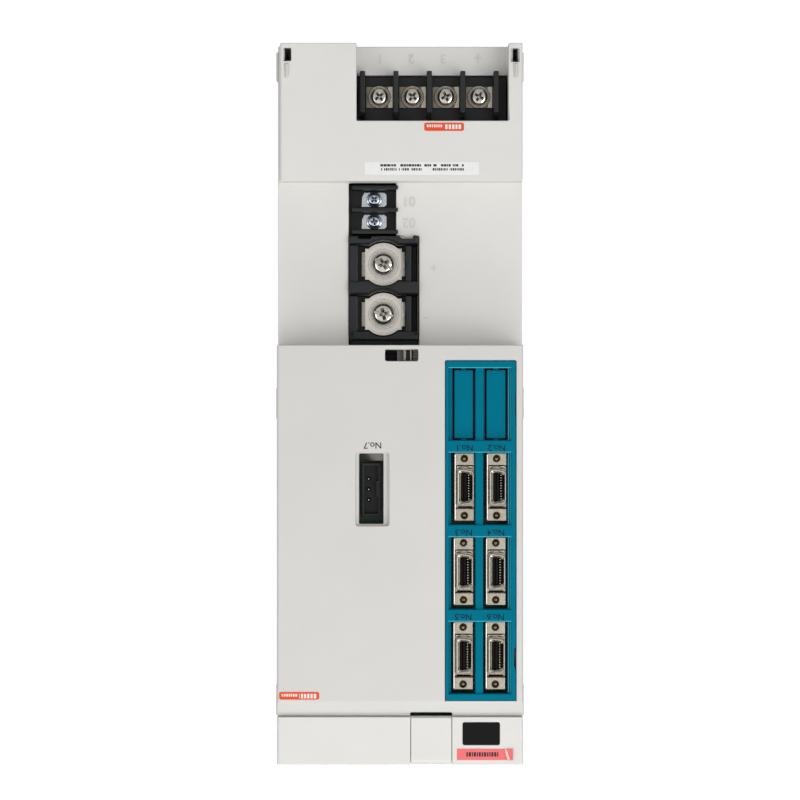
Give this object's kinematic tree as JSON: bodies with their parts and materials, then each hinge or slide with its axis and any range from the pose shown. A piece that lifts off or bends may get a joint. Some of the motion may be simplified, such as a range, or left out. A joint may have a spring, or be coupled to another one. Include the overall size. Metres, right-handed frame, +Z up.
{
  "type": "servo drive",
  "caption": "Tall panel-mounted servo drive with screw terminals below, signal connectors in a teal bezel and a heat sink with a fan behind its flange.",
  "frame": {"origin": "rear face of the mounting flange, in the middle of the lower pair of mounting slots", "axes": "+Z up as installed, +X right in the front view, -Y out of the front; the fins stand at +Y"},
  "size_m": [0.1218, 0.2602, 0.38],
  "materials": {
    "grey_plastic": "fine moulded texture",
    "teal_plastic": "fine moulded texture",
    "black_plastic": "satin moulding",
    "smoked_plastic": "clear gloss, smoked",
    "circuit_board": "solder mask",
    "nickel_plate": "nickel plated",
    "zinc_plate": "bright zinc",
    "aluminium": "extruded, natural",
    "sheet_steel": "galvanised",
    "copper": "tinned at the ends",
    "capacitor_sleeve": "shrink sleeve",
    "display_grey": "matt"
  },
  "bodies": {
    "drive": {"mounting_flange": "sheet_steel", "air_duct": "sheet_steel", "fan_guard": "sheet_steel", "board_carrier": "sheet_steel", "heat_sink": "aluminium", "fan_frame": "black_plastic", "axis_switch_body": "black_plastic", "power_module": "black_plastic", "current_sensor": "black_plastic", "brake_port_housing": "black_plastic", "output_terminal_block": "black_plastic", "dc_terminal_block": "black_plastic", "control_terminal_block": "black_plastic", "main_case": "grey_plastic", "front_cover": "grey_plastic", "top_cover": "grey_plastic", "connector_bezel": "teal_plastic", "display_window": "smoked_plastic", "control_board": "circuit_board", "power_board": "circuit_board", "segment_display": "display_grey", "brake_port_pins": "nickel_plate", "dc_capacitor_1": "capacitor_sleeve", "output_terminal_plate_1": "nickel_plate", "output_terminal_screw_1": "nickel_plate", "dc_capacitor_2": "capacitor_sleeve", "output_terminal_plate_2": "nickel_plate", "output_terminal_screw_2": "nickel_plate", "dc_capacitor_3": "capacitor_sleeve", "output_terminal_plate_3": "nickel_plate", "output_terminal_screw_3": "nickel_plate", "dc_capacitor_4": "capacitor_sleeve", "output_terminal_plate_4": "nickel_plate", "output_terminal_screw_4": "nickel_plate", "signal_port_1_shell": "nickel_plate", "signal_port_1_insert": "black_plastic", "signal_port_2_shell": "nickel_plate", "signal_port_2_insert": "black_plastic", "signal_port_3_shell": "nickel_plate", "signal_port_3_insert": "black_plastic", "signal_port_4_shell": "nickel_plate", "signal_port_4_insert": "black_plastic", "signal_port_5_shell": "nickel_plate", "signal_port_5_insert": "black_plastic", "signal_port_6_shell": "nickel_plate", "signal_port_6_insert": "black_plastic", "dc_terminal_plate_1": "nickel_plate", "dc_terminal_screw_1": "nickel_plate", "control_terminal_plate_1": "zinc_plate", "control_terminal_screw_1": "zinc_plate", "dc_terminal_plate_2": "nickel_plate", "dc_terminal_screw_2": "nickel_plate", "control_terminal_plate_2": "zinc_plate", "control_terminal_screw_2": "zinc_plate", "output_busbar_1": "copper", "output_busbar_2": "copper", "output_busbar_3": "copper"},
    "flap": {"access_flap": "grey_plastic"},
    "fan": {"fan_rotor": "black_plastic"},
    "switch_dial": {"axis_switch_dial": "grey_plastic"}
  },
  "joints": [
    {"name": "flap_hinge", "type": "hinge", "parent": "drive", "child": "flap", "pos_m": [-0.0151, -0.1753, 0.3523], "axis": [-1, 0, 0], "range_deg": [0, 100]},
    {"name": "fan_spin", "type": "hinge", "parent": "drive", "child": "fan", "pos_m": [0, 0.039, 0.31], "axis": [0, 0, 1], "continuous": true},
    {"name": "dial_turn", "type": "hinge", "parent": "drive", "child": "switch_dial", "pos_m": [-0.0151, -0.172, 0.342], "axis": [0, 1, 0], "continuous": true}
  ]
}
